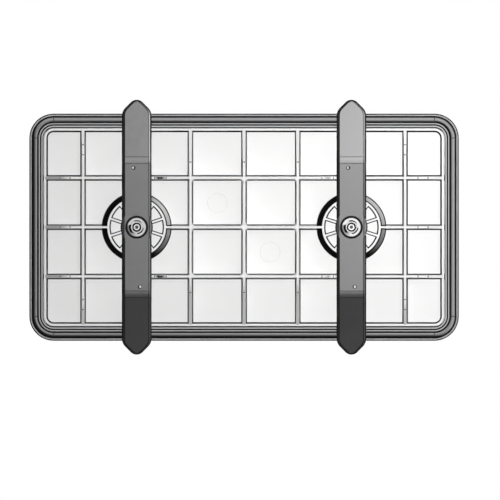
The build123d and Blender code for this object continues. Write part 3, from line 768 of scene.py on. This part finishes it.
def make_spindle(side):
    low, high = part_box(f"spindle_{side}")
    place_x = (low.x + high.x) / 2
    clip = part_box(f"retaining_clip_{side}")
    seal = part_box(f"spindle_o_ring_{side}")
    end_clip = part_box(f"end_clip_{side}")
    drive_foot = high.z - DRIVE_HEIGHT
    shoulder = low.z + PILOT_LENGTH
    thread_top = clip[0].z - 0.4 * MM
    rings = [(high.z, BORE_R), (high.z, square_radius), (drive_foot, square_radius),
             (drive_foot, CREST_R)]
    for box, depth in ((seal, 1.6 * MM), (clip, 1.0 * MM)):
        rings += [(box[1].z, CREST_R), (box[1].z, CREST_R - depth), (box[0].z, CREST_R - depth),
                  (box[0].z, CREST_R)]
    rings.append((thread_top, CREST_R))
    steps = round((thread_top - shoulder) / THREAD_STEP)
    for step in range(1, steps + 1):
        z = thread_top - (thread_top - shoulder) * step / steps
        rings.append((z, lambda angle, z=z: thread_radius(angle, z, thread_top, shoulder)))
    rings += [(shoulder, PILOT_R), (end_clip[1].z, PILOT_R), (end_clip[1].z, GROOVE_R),
              (end_clip[0].z, GROOVE_R), (end_clip[0].z, PILOT_R), (low.z + 0.4 * MM, PILOT_R),
              (low.z, PILOT_R - 0.4 * MM), (low.z, POCKET_R + 0.2 * MM),
              (low.z + 0.2 * MM, POCKET_R), (low.z + POCKET_DEPTH, POCKET_R),
              (low.z + POCKET_DEPTH, BORE_R)]
    points = [point for z, radius in rings for point in ring_points(place_x, z, radius)]
    faces = []
    for row in range(len(rings)):
        after = (row + 1) % len(rings)
        for column in range(RING_COLUMNS):
            beside = (column + 1) % RING_COLUMNS
            faces.append((row * RING_COLUMNS + column, after * RING_COLUMNS + column,
                          after * RING_COLUMNS + beside, row * RING_COLUMNS + beside))
    mesh = bpy.data.meshes.new(f"threaded_spindle_{side}")
    mesh.from_pydata(points, [], faces)
    tidy_mesh(mesh, 35.0)
    mesh.materials.append(MATERIALS["spindle_plastic"])
    piece = bpy.data.objects.new(f"threaded_spindle_{side}", mesh)
    scene.collection.objects.link(piece)
    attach(piece, f"knob_{side}")
    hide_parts(f"spindle_{side}")


def tidy_mesh(mesh, sharp_degrees):
    """Normals face out, and edges sharper than this stay sharp."""
    work = bmesh.new()
    work.from_mesh(mesh)
    bmesh.ops.recalc_face_normals(work, faces=work.faces)
    for face in work.faces:
        face.smooth = True
    for edge in work.edges:
        if len(edge.link_faces) == 2:
            edge.smooth = edge.calc_face_angle() < math.radians(sharp_degrees)
    work.to_mesh(mesh)
    work.free()


scene = bpy.context.scene
for side in SIDES:
    make_spindle(side)


# Small plain rings moulded on two of the lid's panels, with nothing written in them

MARK_PLACE = (32.0 * MM, 30.0 * MM)
MARK_R = 12.0 * MM
MARK_WIDTH = 0.9 * MM
MARK_RISE = 0.35 * MM


def make_mark(name, x, y):
    """A low rounded ring on the underside of the skin."""
    section = [(-0.5, 0.0), (-0.36, 0.8), (0.0, 1.0), (0.36, 0.8), (0.5, 0.0)]
    points = []
    faces = []
    for column in range(RING_COLUMNS):
        angle = 2 * math.pi * column / RING_COLUMNS
        for across, rise in section:
            radius = MARK_R + across * MARK_WIDTH
            points.append((x + radius * math.cos(angle), y + radius * math.sin(angle),
                           LID_SKIN_UNDERSIDE + 0.02 * MM - rise * MARK_RISE))
        beside = (column + 1) % RING_COLUMNS
        for row in range(len(section) - 1):
            faces.append((column * len(section) + row, column * len(section) + row + 1,
                          beside * len(section) + row + 1, beside * len(section) + row))
    mesh = bpy.data.meshes.new(name)
    mesh.from_pydata(points, [], faces)
    tidy_mesh(mesh, 60.0)
    mesh.materials.append(MATERIALS["lid_plastic"])
    piece = bpy.data.objects.new(name, mesh)
    scene.collection.objects.link(piece)
    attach(piece, "lid")


make_mark("mould_ring_1", *MARK_PLACE)
make_mark("mould_ring_2", *[-part for part in MARK_PLACE])


# The floor is pale from above and lets light through to the hatch's underside.

FLOOR_REACH = 3.0


def make_floor(level):
    mesh = bpy.data.meshes.new("floor")
    corners = [(-FLOOR_REACH, -FLOOR_REACH), (FLOOR_REACH, -FLOOR_REACH),
               (FLOOR_REACH, FLOOR_REACH), (-FLOOR_REACH, FLOOR_REACH)]
    mesh.from_pydata([(x, y, level) for x, y in corners], [], [(0, 1, 2, 3)])
    floor = bpy.data.objects.new("floor", mesh)
    bpy.context.scene.collection.objects.link(floor)
    material, tree, shader = new_material("floor_paper", (0.9, 0.9, 0.9), 0.9)
    tree.links.new(spread(tree, noise(tree, 300.0, 4.0), 0.86, 0.92),
                   shader.inputs["Roughness"])
    glow = tree.nodes.new("ShaderNodeEmission")
    away = tree.nodes.new("ShaderNodeVectorMath")
    away.operation = "LENGTH"
    tree.links.new(object_coordinates(tree), away.inputs[0])
    fade = tree.nodes.new("ShaderNodeMixShader")
    tree.links.new(spread(tree, away.outputs["Value"], 0.0, 1.0, 0.35, 0.95), fade.inputs[0])
    tree.links.new(shader.outputs[0], fade.inputs[1])
    tree.links.new(glow.outputs[0], fade.inputs[2])
    clear = tree.nodes.new("ShaderNodeBsdfTransparent")
    side = tree.nodes.new("ShaderNodeMixShader")
    tree.links.new(tree.nodes.new("ShaderNodeNewGeometry").outputs["Backfacing"],
                   side.inputs[0])
    tree.links.new(fade.outputs[0], side.inputs[1])
    tree.links.new(clear.outputs[0], side.inputs[2])
    tree.links.new(side.outputs[0], tree.nodes["Material Output"].inputs["Surface"])
    mesh.materials.append(material)
    floor.visible_shadow = False
    floor.visible_diffuse = False


def make_world():
    """White where the camera, gloss or glass sees it; a low even light elsewhere."""
    world = bpy.data.worlds.new("studio")
    bpy.context.scene.world = world
    world.use_nodes = True
    tree = world.node_tree
    ambient = tree.nodes["Background"]
    ambient.inputs["Color"].default_value = (1.0, 1.0, 1.0, 1.0)
    ambient.inputs["Strength"].default_value = 0.10
    backdrop = tree.nodes.new("ShaderNodeBackground")
    backdrop.inputs["Color"].default_value = (1.0, 1.0, 1.0, 1.0)
    backdrop.inputs["Strength"].default_value = 1.0
    rays = tree.nodes.new("ShaderNodeLightPath")
    seen = largest(tree, rays.outputs["Is Camera Ray"], rays.outputs["Is Glossy Ray"])
    seen = largest(tree, seen, rays.outputs["Is Transmission Ray"])
    mixer = tree.nodes.new("ShaderNodeMixShader")
    tree.links.new(seen, mixer.inputs[0])
    tree.links.new(ambient.outputs[0], mixer.inputs[1])
    tree.links.new(backdrop.outputs[0], mixer.inputs[2])
    tree.links.new(mixer.outputs[0], tree.nodes["World Output"].inputs["Surface"])


def make_lamp(name, place, target, size, power, gloss_only=False, shadows=True):
    lamp = bpy.data.lights.new(name, "AREA")
    lamp.use_shadow = shadows
    lamp.size = size
    lamp.energy = power
    holder = bpy.data.objects.new(name, lamp)
    holder.location = place
    holder.rotation_euler = (Vector(target) - Vector(place)).to_track_quat("-Z", "Y").to_euler()
    holder.visible_camera = False
    holder.visible_diffuse = not gloss_only
    bpy.context.scene.collection.objects.link(holder)


def make_camera():
    """Square on to the underside: the image's right is -X and its top is +Y."""
    camera = bpy.data.cameras.new("camera")
    camera.type = "ORTHO"
    camera.ortho_scale = PHOTO_SPAN
    camera.clip_end = 20.0
    holder = bpy.data.objects.new("camera", camera)
    holder.location = (PHOTO_CENTRE_X, PHOTO_CENTRE_Y, -CAMERA_DISTANCE)
    holder.rotation_euler = (0.0, math.pi, 0.0)
    bpy.context.scene.collection.objects.link(holder)
    bpy.context.scene.camera = holder


PHOTO_SPAN = 0.6055
PHOTO_CENTRE_X = -0.0072
PHOTO_CENTRE_Y = -0.0276
CAMERA_DISTANCE = 1.5

make_floor(cad_box[0].z)
make_world()
make_camera()
UNDERSIDE = (0.0, 0.0, -0.03)
TOPSIDE = (0.0, 0.0, 0.01)
make_lamp("under_key", (-0.37, 0.24, -1.60), UNDERSIDE, 0.35, 21.2, shadows=False)
make_lamp("under_gloss", (-0.80, 0.80, -1.35), UNDERSIDE, 0.8, 170.0, gloss_only=True,
          shadows=False)
make_lamp("top_key", (-0.9, -1.1, 1.7), TOPSIDE, 0.9, 42.0)
make_lamp("top_fill", (1.2, 0.9, 1.3), TOPSIDE, 1.2, 16.0)

scene.view_settings.view_transform = "Standard"
